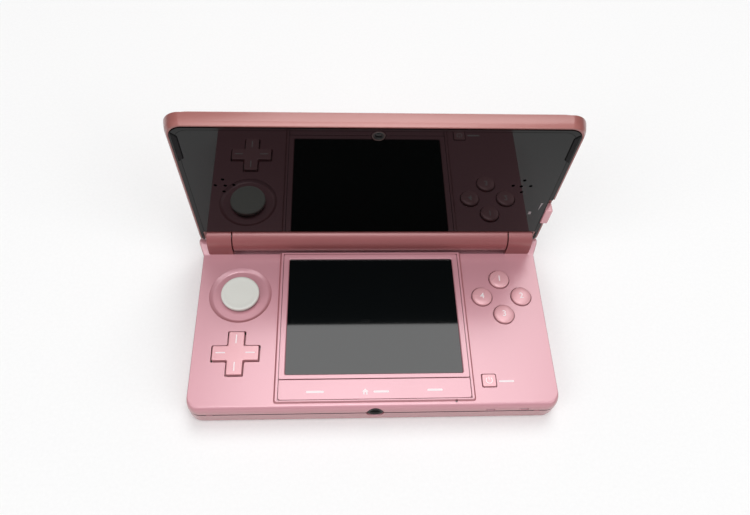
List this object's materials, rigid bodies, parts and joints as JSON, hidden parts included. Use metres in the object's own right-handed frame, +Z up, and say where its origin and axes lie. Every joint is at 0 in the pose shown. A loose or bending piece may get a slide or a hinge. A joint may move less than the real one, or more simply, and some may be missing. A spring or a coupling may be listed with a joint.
{
  "type": "clamshell handheld game console",
  "caption": "Clamshell handheld game console with a friction-hinged lid, two screens, a sliding pad, a cross pad and press buttons.",
  "frame": {"origin": "under the middle of the base, on the surface that it rests on", "axes": "+X to the player's right, +Y from the player to the hinge, +Z up"},
  "size_m": [0.134, 0.074, 0.0809],
  "materials": {
    "pearl_pink": "satin pearl paint over moulded plastic",
    "pink_gloss": "clear coated pearl pink",
    "pad_grey": "soft satin",
    "piano_black": "glossy black",
    "black_plastic": "fine matte",
    "screen_glass": "glossy dark screen",
    "grey_rubber": "matte",
    "black_rubber": "matte",
    "steel": "plain",
    "board": "solder mask",
    "clear_plastic": "clear light guide"
  },
  "bodies": {
    "base": {"bottom_cover": "pearl_pink", "mid_housing": "pearl_pink", "deck_cover": "pearl_pink", "cover_screw_left": "steel", "cover_screw_right": "steel", "battery_pack": "black_plastic", "mainboard": "board", "cpu_shield": "steel", "lower_lcd": "steel", "touch_panel": "screen_glass", "touch_bezel": "pearl_pink", "menu_strip": "pearl_pink", "game_card_connector": "black_plastic", "sd_card_socket": "steel", "headphone_jack": "black_plastic", "charge_port": "black_plastic", "ir_window": "piano_black", "microphone": "steel", "status_light_guide": "clear_plastic", "circle_pad_base": "black_plastic", "dpad_membrane": "grey_rubber", "face_button_membrane": "grey_rubber", "left_shoulder_pin": "steel", "right_shoulder_pin": "steel", "hinge_clutch": "steel", "hinge_sleeve": "steel"},
    "lid": {"lid_outer_cover": "pink_gloss", "lid_rim_frame": "pearl_pink", "hinge_barrel": "pearl_pink", "lid_bezel": "piano_black", "lid_window": "screen_glass", "upper_lcd": "steel", "left_speaker": "black_plastic", "right_speaker": "black_plastic", "inner_camera": "piano_black", "outer_camera_module": "piano_black", "lid_bumper_left": "black_rubber", "lid_bumper_right": "black_rubber", "lid_flex_cable": "board"},
    "circle_pad_carrier": {"circle_pad_carrier": "grey_rubber"},
    "circle_pad": {"circle_pad_cap": "pad_grey"},
    "dpad_pivot": {"dpad_pivot": "grey_rubber"},
    "dpad": {"dpad": "pearl_pink"},
    "face_button_north": {"face_button_north": "pink_gloss"},
    "face_button_east": {"face_button_east": "pink_gloss"},
    "face_button_south": {"face_button_south": "pink_gloss"},
    "face_button_west": {"face_button_west": "pink_gloss"},
    "power_button": {"power_button": "pink_gloss"},
    "select_plunger": {"select_plunger": "grey_rubber"},
    "home_plunger": {"home_plunger": "grey_rubber"},
    "start_plunger": {"start_plunger": "grey_rubber"},
    "left_shoulder_button": {"left_shoulder_button": "pearl_pink"},
    "right_shoulder_button": {"right_shoulder_button": "pearl_pink"},
    "volume_slider": {"volume_slider": "pink_gloss"},
    "wireless_switch": {"wireless_switch": "pink_gloss"},
    "sd_slot_cover": {"sd_slot_cover": "pearl_pink"},
    "stylus": {"stylus_barrel": "black_plastic", "stylus_tip": "pad_grey"},
    "depth_slider": {"depth_slider": "pink_gloss"}
  },
  "joints": [
    {"name": "lid_hinge", "type": "hinge", "parent": "base", "child": "lid", "pos_m": [0, 0.0309, 0.0152], "axis": [-1, 0, 0], "range_deg": [-88.5, 66]},
    {"name": "circle_pad_y", "type": "slide", "parent": "base", "child": "circle_pad_carrier", "axis": [0, 1, 0], "range_m": [-0.003, 0.003], "stiffness_N_per_m": 120},
    {"name": "circle_pad_x", "type": "slide", "parent": "circle_pad_carrier", "child": "circle_pad", "axis": [1, 0, 0], "range_m": [-0.003, 0.003], "stiffness_N_per_m": 120},
    {"name": "dpad_rock_x", "type": "hinge", "parent": "base", "child": "dpad_pivot", "pos_m": [-0.0489, -0.0159, 0.0084], "axis": [1, 0, 0], "range_deg": [-4, 4], "stiffness_Nm_per_rad": 0.05},
    {"name": "dpad_rock_y", "type": "hinge", "parent": "dpad_pivot", "child": "dpad", "pos_m": [-0.0489, -0.0159, 0.0084], "axis": [0, 1, 0], "range_deg": [-4, 4], "stiffness_Nm_per_rad": 0.05},
    {"name": "face_button_north_press", "type": "slide", "parent": "base", "child": "face_button_north", "axis": [0, 0, -1], "range_m": [0, 0.0009], "stiffness_N_per_m": 300},
    {"name": "face_button_east_press", "type": "slide", "parent": "base", "child": "face_button_east", "axis": [0, 0, -1], "range_m": [0, 0.0009], "stiffness_N_per_m": 300},
    {"name": "face_button_south_press", "type": "slide", "parent": "base", "child": "face_button_south", "axis": [0, 0, -1], "range_m": [0, 0.0009], "stiffness_N_per_m": 300},
    {"name": "face_button_west_press", "type": "slide", "parent": "base", "child": "face_button_west", "axis": [0, 0, -1], "range_m": [0, 0.0009], "stiffness_N_per_m": 300},
    {"name": "power_button_press", "type": "slide", "parent": "base", "child": "power_button", "axis": [0, 0, -1], "range_m": [0, 0.0004], "stiffness_N_per_m": 300},
    {"name": "select_plunger_press", "type": "slide", "parent": "base", "child": "select_plunger", "axis": [0, 0, -1], "range_m": [0, 0.0003], "stiffness_N_per_m": 300},
    {"name": "home_plunger_press", "type": "slide", "parent": "base", "child": "home_plunger", "axis": [0, 0, -1], "range_m": [0, 0.0003], "stiffness_N_per_m": 300},
    {"name": "start_plunger_press", "type": "slide", "parent": "base", "child": "start_plunger", "axis": [0, 0, -1], "range_m": [0, 0.0003], "stiffness_N_per_m": 300},
    {"name": "left_shoulder_press", "type": "hinge", "parent": "base", "child": "left_shoulder_button", "pos_m": [-0.0421, 0.0357, 0.00535], "axis": [0, 0, 1], "range_deg": [0, 3.5], "stiffness_Nm_per_rad": 0.1},
    {"name": "right_shoulder_press", "type": "hinge", "parent": "base", "child": "right_shoulder_button", "pos_m": [0.0421, 0.0357, 0.00535], "axis": [0, 0, -1], "range_deg": [0, 3.5], "stiffness_Nm_per_rad": 0.1},
    {"name": "volume_slide", "type": "slide", "parent": "base", "child": "volume_slider", "axis": [0, 1, 0], "range_m": [-0.004, 0.004]},
    {"name": "wireless_slide", "type": "slide", "parent": "base", "child": "wireless_switch", "axis": [0, 1, 0], "range_m": [-0.0015, 0.0015], "stiffness_N_per_m": 150},
    {"name": "sd_cover_hinge", "type": "hinge", "parent": "base", "child": "sd_slot_cover", "pos_m": [-0.0646, 0.002, 0.003], "axis": [0, -1, 0], "range_deg": [0, 110]},
    {"name": "stylus_slide", "type": "slide", "parent": "base", "child": "stylus", "axis": [0, 1, 0], "range_m": [0, 0.05]},
    {"name": "depth_slide", "type": "slide", "parent": "lid", "child": "depth_slider", "axis": [0, -0.0175, 0.9998], "range_m": [0, 0.006]}
  ]
}
